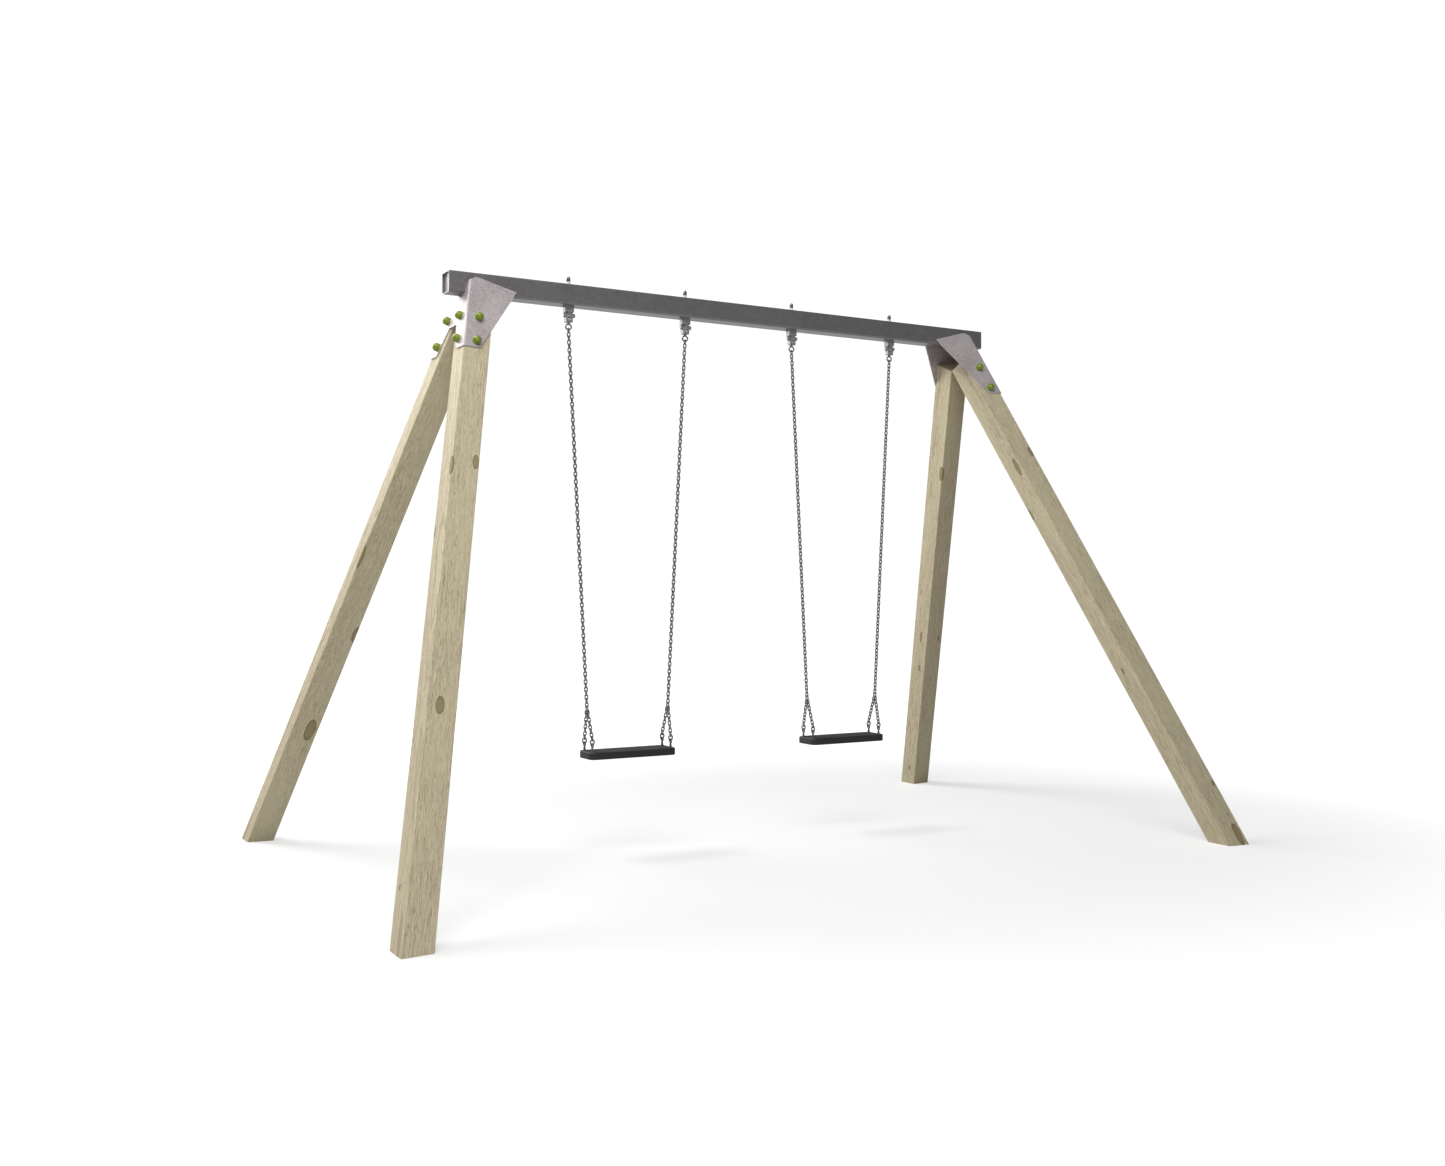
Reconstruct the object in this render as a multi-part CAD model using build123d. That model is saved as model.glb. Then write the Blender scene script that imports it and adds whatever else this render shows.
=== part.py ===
from build123d import *

import math
import os

# Two-bay timber swing set: a square steel top beam welded into two folded head brackets,
# four raking timber legs screwed to the brackets, and two rubber seats on steel chains.
# Millimetres. X runs along the beam, -Y is the front, +Z is up. The origin is on the
# ground under the middle of the beam, and the legs stand on Z = 0.

# ---- overall sizes -------------------------------------------------------------------
beam_length = 3195.0
beam_top_height = 2808.0
beam_side = 100.0
beam_wall = 5.0
beam_corner_radius = 9.0
splay_angle = 15.0             # lean of each end frame towards the middle of the beam
rake_angle = 25.0              # lean of each leg inside its end frame
beam_overhang = 83.0           # from the legs' outer faces to the beam's end, at its underside

# ---- legs ----------------------------------------------------------------------------
leg_side = 127.0
leg_arris_radius = 4.0
leg_top_gap = 1.0              # each leg's inner top corner stops this far from the middle

# ---- head brackets -------------------------------------------------------------------
plate_thickness = 6.0
fold_outer_radius = 9.0
weld_gap = 0.3                 # root gap between a bracket edge and the beam
flange_meets_beam = 15.6       # below the beam's top, where the flange runs into its side
bracket_skirt_drop = 380.0     # from the beam's top down to the bracket's lowest edge
crotch_drop = 256.0            # from the beam's top down to the gap between the two skirts
crotch_half_width = 48.0
skirt_width = 78.0             # skirt of the end plate and of the flange, across the leg
flange_width_at_beam = 235.0
flange_toe_rise = 15.0         # the flange's lower edge climbs this much across the leg
flange_corner_cut = 10.0
fold_top_cut = 31.0            # corner taken off where the fold runs into the beam

# ---- screws and caps in the head brackets --------------------------------------------
screw_inset = 56.5             # screw line, from the leg's corner
flange_screw_drops = (368.051, 232.051)     # down the leg from the flange's upper edge
end_plate_screw_drops = (339.051, 205.051)
screw_diameter = 12.0
screw_length = 95.0
screw_head_across_flats = 19.0
screw_head_height = 8.0
screw_fit = 0.05
screw_washer_diameter = 27.0
screw_washer_thickness = 2.5
cap_diameter = 40.0
cap_height = 30.0
cap_wall = 2.5
cap_base_floor = 3.0
cap_base_collar_height = 9.0
cap_fit = 0.15

# ---- beam end plates -----------------------------------------------------------------
end_plate_inset = 12.0
end_plate_thickness = 4.0
end_plate_fit = 0.3

# ---- hangers -------------------------------------------------------------------------
hanger_spacing = 649.0         # all four hangers are evenly spaced along the beam
block_length = 46.0
block_depth = 38.0
block_height = 31.0
block_edge = 3.0
pivot_drop = 46.0              # pivot axis below the beam
pivot_diameter = 12.0
pivot_running_fit = 0.05
still_fit = 0.02
lug_width = 18.0
lug_radius = 14.0
bush_wall = 2.5
cheek_gap = 0.5
cheek_thickness = 8.5
clevis_depth = 27.0
clevis_bottom_drop = 81.0      # underside of the clevis, below the beam
clevis_bridge_thickness = 11.0
stud_diameter = 12.0
stud_hole_fit = 0.75
stud_grip = 22.0               # thread engagement in the hanger block
stud_washer_diameter = 37.0
stud_washer_thickness = 3.0
stud_nut_height = 12.0
lock_ring_height = 4.5
lock_ring_diameter = 17.0
dome_nut_height = 25.0
m12_across_flats = 19.0
bolt_head_height = 7.5
pivot_washer_diameter = 24.0
pivot_washer_thickness = 2.5
pivot_nut_height = 12.0
pivot_thread_proud = 3.0
eye_shank_diameter = 10.0
eye_wire = 8.2
eye_outer_width = 38.0
eye_outer_height = 34.0
eye_neck = 4.0                 # neck of the clevis eye, under the clevis
eye_nut_across_flats = 16.0
eye_nut_height = 6.0

# ---- chains --------------------------------------------------------------------------
chain_wire = 6.0
chain_pitch = 18.95
chain_outer_width = 20.8
chain_links = 98               # links in each main chain, an even number
bridle_links = 8               # links in each leg of a bridle, an even number
link_play = 0.3                # slack between two linked loops
joining_wire = 7.0
joining_inner_length = 20.0
joining_inner_width = 15.4
bridle_side_play = 0.35        # beside each bridle link in the joining link
link_fit = 0.3

# ---- seats ---------------------------------------------------------------------------
seat_length = 475.0
seat_depth = 160.0
seat_thickness = 36.0
seat_plan_radius = 32.0
seat_top_radius = 7.0
seat_bottom_radius = 4.0
seat_eye_spacing = 434.0       # along the seat
seat_eye_gauge = 92.0          # across the seat
ring_wire = 7.5
ring_top_width = 28.6
ring_bottom_width = 24.0
ring_length = 35.0
seat_eye_wire = 8.0
seat_eye_diameter = 27.0
seat_eye_height = 45.5         # top of the eye above the seat
seat_shank_diameter = 12.0
seat_collar_diameter = 22.0
seat_collar_thickness = 5.0
seat_collar_recess = 3.0
insert_length = 460.0
insert_depth = 124.0
insert_thickness = 4.0
insert_depth_in_seat = 15.0    # rubber above the insert
insert_plan_radius = 20.0
nut_pocket_diameter = 30.0
seat_washer_diameter = 24.0
seat_washer_thickness = 2.5
seat_nut_height = 12.0
seat_fit = 0.1

# ---- values that follow from the sizes above -----------------------------------------
splay = math.radians(splay_angle)
rake = math.radians(rake_angle)
beam_bottom = beam_top_height - beam_side
beam_centre_height = beam_top_height - beam_side / 2
leg_plane_x_at_beam = beam_length / 2 - beam_overhang
foot_x = leg_plane_x_at_beam + beam_bottom * math.tan(splay)
flange_root = (beam_top_height - flange_meets_beam) / math.cos(splay)
foot_y = beam_side / 2 + flange_root * math.tan(rake)
leg_length = (foot_y - leg_side * math.cos(rake) - leg_top_gap) / math.sin(rake)
flange_top = (foot_y - beam_side / 2 - weld_gap) / math.sin(rake)

pivot_height = beam_bottom - pivot_drop
hanger_xs = [hanger_spacing * (index - 1.5) for index in range(4)]
eye_wire_height = beam_bottom - clevis_bottom_drop - eye_neck - eye_outer_height + eye_wire / 2

outward = Vector(math.cos(splay), 0, math.sin(splay))
up_slope = Vector(-math.sin(splay), 0, math.cos(splay))


def save(name, shapes):
    """Write one node, made of one solid or of several separate ones."""
    solids = []
    for shape in shapes:
        solids.extend(shape.solids())
    node = solids[0] if len(solids) == 1 else Compound(solids)
    export_step(node, f"parts/{name}.step")


def turned(shapes):
    """The same pieces at the other end: the frame repeats after half a turn about Z."""
    return [Rot(0, 0, 180) * shape for shape in shapes]


def on_axis(origin, direction, x_dir=None):
    """Frame at origin whose local Z is direction."""
    return Location(Plane(origin=origin, x_dir=x_dir, z_dir=direction))


def tube(outer_radius, inner_radius, height):
    """Ring standing on its local XY plane."""
    low = Align.CENTER, Align.CENTER, Align.MIN
    return Cylinder(outer_radius, height, align=low) - Cylinder(inner_radius, height, align=low)


def hexagon(across_flats, height, bore_radius=0.0, chamfered=True):
    """Hexagon standing on its local XY plane, with turned corners and an optional bore."""
    body = extrude(RegularPolygon(across_flats / 2, 6, major_radius=False), height)
    if chamfered:
        cone_low = across_flats / 2 * 0.98
        cone = Cone(cone_low + height * 1.2, cone_low, height * 1.2,
                    align=(Align.CENTER, Align.CENTER, Align.MAX))
        body = body & (Pos(0, 0, height) * cone)
    if bore_radius:
        body = body - Cylinder(bore_radius, height * 3)
    return body


def loop_link(wire, inner_length, inner_width):
    """Oval link in its local XZ plane, long along Z, centred on the origin."""
    bow = inner_width / 2 + wire / 2
    half_straight = inner_length / 2 - inner_width / 2
    stretch = 2 * half_straight
    ring = Rot(90, 0, 0) * Torus(bow, wire / 2)
    reach = bow + wire
    upper = Box(2 * reach, 2 * wire, reach, align=(Align.CENTER, Align.CENTER, Align.MIN))
    top = Pos(0, 0, half_straight) * (ring & upper)
    bottom = Pos(0, 0, -half_straight) * (ring & (Rot(0, 180, 0) * upper))
    side = Cylinder(wire / 2, stretch)
    link = top + bottom
    for x in (-bow, bow):
        link = link + Pos(x, 0, 0) * side
    return link


# ---- legs ----------------------------------------------------------------------------
class LegFrame:
    """Directions of one leg at the +X end: front (facing = -1) or rear (facing = 1)."""

    def __init__(self, facing):
        across = Vector(0, facing, 0)
        self.corner = Vector(foot_x, facing * foot_y, 0)
        self.axis = up_slope * math.cos(rake) - across * math.sin(rake)
        self.face = across * math.cos(rake) + up_slope * math.sin(rake)

    def point(self, along, from_end_face, from_outer_face):
        """A point of the leg: up along it, and in from its end face and its outer face."""
        return (self.corner + self.axis * along
                - outward * from_end_face - self.face * from_outer_face)

    def screw_places(self):
        """Origin on the bracket's outer surface and outward direction of each screw."""
        places = []
        for drop in flange_screw_drops:
            places.append((self.point(flange_top - drop, screw_inset, -plate_thickness), self.face))
        for drop in end_plate_screw_drops:
            places.append((self.point(flange_top - drop, -plate_thickness, screw_inset), outward))
        return places


front_leg = LegFrame(-1)
rear_leg = LegFrame(1)
screw_places = front_leg.screw_places() + rear_leg.screw_places()


def at_screws(piece):
    """A copy of a piece, drawn with its seat at the origin, on every screw at the +X end."""
    return [on_axis(origin, direction) * piece for origin, direction in screw_places]


def screw_bores(radius, depth):
    """Bores of one depth, from each screw's seat inwards."""
    bore = Cylinder(radius, depth, align=(Align.CENTER, Align.CENTER, Align.MAX))
    return at_screws(bore)


def make_leg(frame):
    """Square timber leg, cut level at the ground and square across its top."""
    buried = 2 * leg_side
    middle = frame.point(-buried, leg_side / 2, leg_side / 2)
    section = RectangleRounded(leg_side, leg_side, leg_arris_radius)
    body = on_axis(middle, frame.axis, outward) * extrude(section, leg_length + buried)
    wide = 4 * leg_side
    ground = Pos(frame.corner.X, frame.corner.Y, 0) * Box(
        wide, wide, wide, align=(Align.CENTER, Align.CENTER, Align.MAX))
    body = body - ground
    reach = screw_length + cap_base_floor
    for bore in screw_bores(screw_diameter / 2 + screw_fit, reach):
        if bore.center().Y * frame.corner.Y > 0:
            body = body - bore
    return body


# ---- head bracket --------------------------------------------------------------------
def fold_rounding(frame):
    """What the bend's outer radius takes off the square corner between two plates."""
    overshoot = 1.0
    centre_inset = fold_outer_radius - plate_thickness
    block_inset = (fold_outer_radius - overshoot) / 2 - plate_thickness
    block = Box(fold_outer_radius + overshoot, fold_outer_radius + overshoot, 2 * leg_length)
    round_bar = Cylinder(fold_outer_radius, 3 * leg_length)
    corner = on_axis(frame.point(leg_length, block_inset, block_inset), frame.axis, outward) * block
    return corner - on_axis(frame.point(leg_length, centre_inset, centre_inset), frame.axis) * round_bar


def make_head_bracket():
    """Folded bracket at the +X end: an end plate and a flange on each leg, in one piece."""
    turn = math.tan(rake)
    fold_offset = plate_thickness / math.cos(rake)
    skirt = skirt_width / math.cos(rake)
    low = (beam_top_height - bracket_skirt_drop) / math.cos(splay)
    crotch = (beam_top_height - crotch_drop) / math.cos(splay)
    fold_top = flange_top - fold_top_cut
    top = fold_top * math.cos(rake)

    def fold_y(height):
        return foot_y - height * turn + fold_offset

    outline = Polyline(
        (fold_y(low), low), (fold_y(top), top), (-fold_y(top), top), (-fold_y(low), low),
        (-(fold_y(low) - skirt), low), (-crotch_half_width, crotch),
        (crotch_half_width, crotch), (fold_y(low) - skirt, low), close=True)
    end_plane = Plane(origin=(foot_x, 0, 0), x_dir=(0, 1, 0), z_dir=outward)
    bracket = Location(end_plane) * extrude(make_face(outline), plate_thickness)

    toe = low / math.cos(rake)
    lean = skirt_width - flange_corner_cut
    flange_outline = Polyline(
        (toe, -plate_thickness), (toe + flange_toe_rise, lean),
        (toe + flange_toe_rise + flange_corner_cut, skirt_width + flange_corner_cut / 2),
        (flange_top, flange_width_at_beam), (flange_top, fold_top_cut - plate_thickness),
        (fold_top, -plate_thickness), close=True)
    flange_plane = Plane(origin=front_leg.corner, x_dir=front_leg.axis, z_dir=front_leg.face)
    flange = Location(flange_plane) * extrude(make_face(flange_outline), plate_thickness)
    bracket = bracket + flange + mirror(flange, Plane.XZ)

    for frame in (front_leg, rear_leg):
        bracket = bracket - fold_rounding(frame)

    gap = 2 * weld_gap
    slot_section = RectangleRounded(beam_side + gap, beam_side + gap, beam_corner_radius)
    slot = Location(Plane(origin=(0, 0, beam_centre_height), x_dir=(0, 1, 0), z_dir=(1, 0, 0)))
    bracket = bracket - slot * extrude(slot_section, beam_length)
    for bore in screw_bores(screw_diameter / 2 + stud_hole_fit, 2 * plate_thickness):
        bracket = bracket - bore
    return bracket


# ---- screws, washers and caps of the head brackets -----------------------------------
washer_seat = cap_base_floor
head_seat = cap_base_floor + screw_washer_thickness


def make_coach_screw():
    """Hexagon head coach screw with a plain shank and a pointed end."""
    low = (Align.CENTER, Align.CENTER, Align.MAX)
    tip = screw_diameter * 0.9
    head = hexagon(screw_head_across_flats, screw_head_height)
    shank = Cylinder(screw_diameter / 2, screw_length - tip, align=low)
    point = Pos(0, 0, tip - screw_length) * Cone(screw_diameter / 8, screw_diameter / 2, tip, align=low)
    return Pos(0, 0, head_seat) * (head + shank + point)


def make_cap_base():
    """Plastic cup under the screw's washer, with the collar that the cap snaps over."""
    outer = cap_diameter / 2 - cap_wall - cap_fit
    floor = tube(outer, screw_diameter / 2 + stud_hole_fit, cap_base_floor)
    collar = tube(outer, outer - cap_wall, cap_base_collar_height)
    return floor + collar


def make_bolt_cap():
    """Domed snap-on cap: a short skirt under a half sphere, hollow inside."""
    radius = cap_diameter / 2
    skirt = cap_height - radius

    def dome(size):
        ball = Pos(0, 0, skirt) * Sphere(size)
        upper = Pos(0, 0, skirt) * Cylinder(radius * 2, radius * 2,
                                            align=(Align.CENTER, Align.CENTER, Align.MIN))
        barrel = Cylinder(size, skirt, align=(Align.CENTER, Align.CENTER, Align.MIN))
        return (ball & upper) + barrel

    return dome(radius) - dome(radius - cap_wall)


# ---- top beam ------------------------------------------------------------------------
def make_beam():
    """Square hollow section, drilled through for the hanger studs."""
    inner = beam_side - 2 * beam_wall
    section = RectangleRounded(beam_side, beam_side, beam_corner_radius)
    section = section - RectangleRounded(inner, inner, beam_corner_radius - beam_wall)
    start = Plane(origin=(-beam_length / 2, 0, beam_centre_height), x_dir=(0, 1, 0), z_dir=(1, 0, 0))
    beam = Location(start) * extrude(section, beam_length)
    hole = Cylinder(stud_diameter / 2 + stud_hole_fit, 2 * beam_side)
    for x in hanger_xs:
        beam = beam - Pos(x, 0, beam_centre_height) * hole
    return beam


def make_beam_end_plate():
    """Closing plate set inside the +X end of the beam."""
    side = beam_side - 2 * (beam_wall + end_plate_fit)
    x = beam_length / 2 - end_plate_inset - end_plate_thickness
    plate_plane = Plane(origin=(x, 0, beam_centre_height), x_dir=(0, 1, 0), z_dir=(1, 0, 0))
    section = RectangleRounded(side, side, beam_corner_radius - beam_wall)
    return Location(plate_plane) * extrude(section, end_plate_thickness)


# ---- hangers, drawn with the pivot at the origin -------------------------------------
along_x = Rot(0, 90, 0)
cheek_inner = lug_width / 2 + cheek_gap
cheek_outer = cheek_inner + cheek_thickness
bush_radius = pivot_diameter / 2 + pivot_running_fit + bush_wall
clevis_bottom = pivot_drop - clevis_bottom_drop
bridge_top = clevis_bottom + clevis_bridge_thickness
stud_top = pivot_drop + beam_side + stud_washer_thickness + stud_nut_height + lock_ring_height
beam_top = pivot_drop + beam_side


def make_hanger_block():
    """Block under the beam with the lug that carries the pivot bush."""
    block = Box(block_length, block_depth, block_height, align=(Align.CENTER, Align.CENTER, Align.MAX))
    block = chamfer(block.edges().filter_by(Axis.Z), block_edge)
    block = Pos(0, 0, pivot_drop) * block
    drop = pivot_drop - block_height / 2
    lug = Box(lug_width, 2 * lug_radius, drop, align=(Align.CENTER, Align.CENTER, Align.MIN))
    lug = lug + along_x * Cylinder(lug_radius, lug_width)
    body = block + lug
    body = body - along_x * Cylinder(bush_radius + still_fit, 2 * lug_width)
    stud_hole = Pos(0, 0, pivot_drop) * Cylinder(
        stud_diameter / 2 + still_fit, stud_grip, align=(Align.CENTER, Align.CENTER, Align.MAX))
    return body - stud_hole


def make_bush():
    """Plain bearing bush in the lug."""
    inner = pivot_diameter / 2 + pivot_running_fit
    return along_x * (Cylinder(bush_radius, lug_width) - Cylinder(inner, 2 * lug_width))


def make_stud():
    """Threaded stud from the block, up through the beam."""
    length = stud_top + dome_nut_height * 0.6 - pivot_drop + stud_grip
    stud = Cylinder(stud_diameter / 2, length, align=(Align.CENTER, Align.CENTER, Align.MIN))
    stud = chamfer(stud.edges().group_by(Axis.Z)[-1], 1.0)
    return Pos(0, 0, pivot_drop - stud_grip) * stud


stud_bore = stud_diameter / 2 + still_fit


def make_stud_washer():
    """Flat washer on top of the beam."""
    return Pos(0, 0, beam_top) * tube(stud_washer_diameter / 2, stud_bore, stud_washer_thickness)


def make_stud_nut():
    """Hexagon nut on the washer."""
    nut = hexagon(m12_across_flats, stud_nut_height, stud_bore)
    return Pos(0, 0, beam_top + stud_washer_thickness) * nut


def make_lock_ring():
    """Nylon locking ring between the nut and the dome nut."""
    ring = tube(lock_ring_diameter / 2, stud_bore, lock_ring_height)
    return Pos(0, 0, stud_top - lock_ring_height) * ring


def make_dome_nut():
    """Domed nut that covers the end of the stud."""
    radius = m12_across_flats / 2 * 0.96
    skirt = dome_nut_height - radius
    hexed = hexagon(m12_across_flats, skirt * 0.75)
    barrel = Cylinder(radius, skirt, align=(Align.CENTER, Align.CENTER, Align.MIN))
    body = hexed + barrel + Pos(0, 0, skirt) * Sphere(radius)
    bore = Cylinder(stud_bore, dome_nut_height * 0.65, align=(Align.CENTER, Align.CENTER, Align.MIN))
    return Pos(0, 0, stud_top) * (body - bore)


def make_clevis():
    """Fork that straddles the lug: two round-topped cheeks and a bridge below them."""
    width = 2 * cheek_outer
    body = Box(width, clevis_depth, -clevis_bottom, align=(Align.CENTER, Align.CENTER, Align.MAX))
    body = chamfer(body.edges().group_by(Axis.Z)[0], 2.0)
    body = body + along_x * Cylinder(clevis_depth / 2, width)
    window = Box(2 * cheek_inner, 2 * clevis_depth, clevis_depth - bridge_top,
                 align=(Align.CENTER, Align.CENTER, Align.MIN))
    body = body - Pos(0, 0, bridge_top) * window
    body = body - along_x * Cylinder(pivot_diameter / 2 + still_fit, 2 * width)
    eye_hole = Cylinder(eye_shank_diameter / 2 + still_fit, 4 * clevis_bridge_thickness)
    return body - Pos(0, 0, bridge_top) * eye_hole


def make_pivot_bolt():
    """Hexagon bolt through the clevis and the bush, its head on the -X side."""
    seat = cheek_outer + pivot_washer_thickness
    length = 2 * seat + pivot_nut_height + pivot_thread_proud
    shank = Cylinder(pivot_diameter / 2, length, align=(Align.CENTER, Align.CENTER, Align.MIN))
    shank = chamfer(shank.edges().group_by(Axis.Z)[-1], 1.0)
    head = Rot(0, 180, 0) * hexagon(m12_across_flats, bolt_head_height)
    return Pos(-seat, 0, 0) * (along_x * (shank + head))


def make_pivot_washers():
    """Washers outside the two cheeks."""
    washer = along_x * tube(pivot_washer_diameter / 2, pivot_diameter / 2 + still_fit,
                            pivot_washer_thickness)
    return [Pos(cheek_outer, 0, 0) * washer,
            Pos(-cheek_outer - pivot_washer_thickness, 0, 0) * washer]


def make_pivot_nut():
    """Locking nut on the +X end of the pivot bolt."""
    nut = along_x * hexagon(m12_across_flats, pivot_nut_height, pivot_diameter / 2 + still_fit)
    return Pos(cheek_outer + pivot_washer_thickness, 0, 0) * nut


def make_clevis_eye():
    """Eye bolt under the clevis: a flat-sided loop, a collar and a shank through the bridge."""
    inner_length = eye_outer_height - 2 * eye_wire
    inner_width = eye_outer_width - 2 * eye_wire
    bow = (inner_width + eye_wire) / 2
    squash = (inner_length + eye_wire) / (inner_width + eye_wire)
    path = Plane.XZ * Ellipse(bow, bow * squash)
    profile = Plane(origin=(bow, 0, 0), z_dir=(0, 0, 1)) * Circle(eye_wire / 2)
    loop = sweep(profile.face(), path=path.face().outer_wire())
    loop = Pos(0, 0, clevis_bottom - eye_neck - eye_outer_height / 2) * loop
    low = (Align.CENTER, Align.CENTER, Align.MIN)
    neck = Pos(0, 0, clevis_bottom - eye_neck - eye_wire / 2) * Cylinder(
        eye_shank_diameter / 2 + 1, eye_neck + eye_wire / 2, align=low)
    shank_length = clevis_bridge_thickness + eye_nut_height + 0.5
    shank = Pos(0, 0, clevis_bottom) * Cylinder(eye_shank_diameter / 2, shank_length, align=low)
    return loop + neck + shank


def make_clevis_eye_nut():
    """Thin nut inside the clevis, on the eye's shank."""
    nut = hexagon(eye_nut_across_flats, eye_nut_height, eye_shank_diameter / 2 + still_fit)
    return Pos(0, 0, bridge_top) * nut


def at_hangers(make, xs):
    """One piece, or a list of them, at each hanger."""
    pieces = make if isinstance(make, list) else [make]
    return [Pos(x, 0, pivot_height) * piece for x in xs for piece in pieces]


# ---- chains, drawn straight down the local Z axis from the clevis eye's lower wire ----
chain_inner_width = chain_outer_width - 2 * chain_wire
chain_start = (eye_wire + link_play) / 2
joining_bow = joining_inner_width / 2
joining_top = chain_links * chain_pitch - chain_start
joining_bow_drop = joining_top + joining_inner_length - joining_bow
bridle_bow_offset = chain_wire / 2 + bridle_side_play
bridle_bow_reach = joining_bow - chain_wire / 2 - link_fit
bridle_drop = joining_bow_drop + math.sqrt(bridle_bow_reach ** 2 - bridle_bow_offset ** 2)
bridle_length = bridle_links * chain_pitch + (chain_wire - ring_wire) / 2
bridle_spread = seat_eye_gauge / 2 - bridle_bow_offset
bridle_angle = math.asin(bridle_spread / bridle_length)
ring_drop = bridle_drop + bridle_length * math.cos(bridle_angle)

seat_xs = [(hanger_xs[0] + hanger_xs[1]) / 2, (hanger_xs[2] + hanger_xs[3]) / 2]
chain_lean = math.asin((hanger_spacing - seat_eye_spacing) / 2 / ring_drop)
ring_wire_height = eye_wire_height - ring_drop * math.cos(chain_lean)


def chain_frame(hanger_x, seat_x):
    """Local frame of one chain: its origin in the clevis eye and its Z up along the chain."""
    inward = 1 if seat_x > hanger_x else -1
    lean = math.degrees(chain_lean)
    return Pos(hanger_x, 0, eye_wire_height) * Rot(0, -inward * lean, 0)


def link_column(count, start, first_across):
    """Links one below another from a start height; every other one is turned a quarter."""
    link = loop_link(chain_wire, chain_pitch + link_play, chain_inner_width)
    links = []
    for index in range(count):
        turn = 90 if (index % 2 == 0) == first_across else 0
        links.append(Pos(0, 0, start - (index + 0.5) * chain_pitch) * Rot(0, 0, turn) * link)
    return links


def make_main_chain():
    """Main chain from the clevis eye down to the joining link."""
    return link_column(chain_links, chain_start, True)


def make_joining_link():
    """Larger link at the foot of the main chain, wide enough for two bridle chains."""
    link = loop_link(joining_wire, joining_inner_length + link_play, joining_inner_width)
    return Pos(0, 0, -joining_top - joining_inner_length / 2) * Rot(0, 0, 90) * link


def make_bridle():
    """Front and rear bridle chains, spread from the joining link to the seat's eyes."""
    chains = []
    for side in (-1, 1):
        frame = Pos(0, side * bridle_bow_offset, -bridle_drop)
        frame = frame * Rot(side * math.degrees(bridle_angle), 0, 0)
        start = -(chain_wire + link_play) / 2
        chains.extend(frame * link for link in link_column(bridle_links, start, False))
    return chains


# ---- seat, drawn with the middle of its top face at the origin ------------------------
ring_top_height = ring_wire_height + ring_wire / 2
eye_top_height = ring_top_height - ring_length + ring_wire + seat_eye_wire + link_play
seat_top_height = eye_top_height - seat_eye_height
eye_places = [(x * seat_eye_spacing / 2, y * seat_eye_gauge / 2) for x in (-1, 1) for y in (-1, 1)]


def rounded_slab(length, depth, thickness, radius):
    """Flat slab with rounded corners, hanging down from its local XY plane."""
    return Pos(0, 0, -thickness) * extrude(RectangleRounded(length, depth, radius), thickness)


def make_seat():
    """Moulded rubber seat with pockets for its insert, eyes and nuts."""
    seat = rounded_slab(seat_length, seat_depth, seat_thickness, seat_plan_radius)
    seat = fillet(seat.edges().group_by(Axis.Z)[-1], seat_top_radius)
    seat = fillet(seat.edges().group_by(Axis.Z)[0], seat_bottom_radius)
    seat = seat - Pos(0, 0, -insert_depth_in_seat) * rounded_slab(
        insert_length, insert_depth, insert_thickness, insert_plan_radius)
    nut_pocket = Cylinder(nut_pocket_diameter / 2, seat_thickness - insert_depth_in_seat
                          - insert_thickness, align=(Align.CENTER, Align.CENTER, Align.MIN))
    recess = Cylinder(seat_collar_diameter / 2 + seat_fit * 5, seat_collar_recess,
                      align=(Align.CENTER, Align.CENTER, Align.MAX))
    bore = Cylinder(seat_shank_diameter / 2 + seat_fit, 3 * seat_thickness)
    for x, y in eye_places:
        seat = seat - Pos(x, y, -seat_thickness) * nut_pocket
        seat = seat - Pos(x, y, 0) * recess
        seat = seat - Pos(x, y, 0) * bore
    return seat


def make_insert():
    """Steel plate moulded into the seat, which carries the four eyes."""
    plate = Pos(0, 0, -insert_depth_in_seat) * rounded_slab(
        insert_length, insert_depth, insert_thickness, insert_plan_radius)
    bore = Cylinder(seat_shank_diameter / 2 + seat_fit, 3 * seat_thickness)
    for x, y in eye_places:
        plate = plate - Pos(x, y, 0) * bore
    return plate


def make_seat_eye():
    """Eye bolt through the seat: a round eye, a collar and a shank."""
    radius = (seat_eye_diameter - seat_eye_wire) / 2
    centre = seat_eye_height - seat_eye_diameter / 2
    eye = Pos(0, 0, centre) * Rot(0, 90, 0) * Torus(radius, seat_eye_wire / 2)
    low = (Align.CENTER, Align.CENTER, Align.MIN)
    neck_top = centre - radius
    neck = Cone(seat_shank_diameter / 2 + 1, seat_eye_wire / 2 + 0.5, neck_top, align=low)
    collar = Pos(0, 0, -seat_collar_recess) * Cylinder(
        seat_collar_diameter / 2, seat_collar_thickness, align=low)
    shank_end = seat_thickness - 2
    shank = Pos(0, 0, -shank_end) * Cylinder(seat_shank_diameter / 2, shank_end, align=low)
    return eye + neck + collar + shank


def make_seat_ring():
    """Pear-shaped ring between a bridle chain and a seat eye, wide at its top."""
    top_radius = (ring_top_width - ring_wire) / 2
    bottom_radius = (ring_bottom_width - ring_wire) / 2
    top_centre = ring_wire / 2 + top_radius
    bottom_centre = ring_length - ring_wire / 2 - bottom_radius
    tilt = math.degrees(math.asin((top_radius - bottom_radius) / (bottom_centre - top_centre)))
    with BuildLine(Plane.XZ) as outline:
        upper = CenterArc((0, -top_centre), top_radius, -tilt, 180 + 2 * tilt)
        lower = CenterArc((0, -bottom_centre), bottom_radius, 180 + tilt, 180 - 2 * tilt)
        Line(upper @ 1, lower @ 0)
        Line(lower @ 1, upper @ 0)
    path = outline.wire()
    start = Plane(origin=path @ 0, z_dir=path % 0)
    return sweep(start * Circle(ring_wire / 2), path=path)


def make_seat_washer():
    """Washer under the insert plate."""
    top = -insert_depth_in_seat - insert_thickness
    washer = tube(seat_washer_diameter / 2, seat_shank_diameter / 2 + still_fit, seat_washer_thickness)
    return Pos(0, 0, top - seat_washer_thickness) * washer


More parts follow.
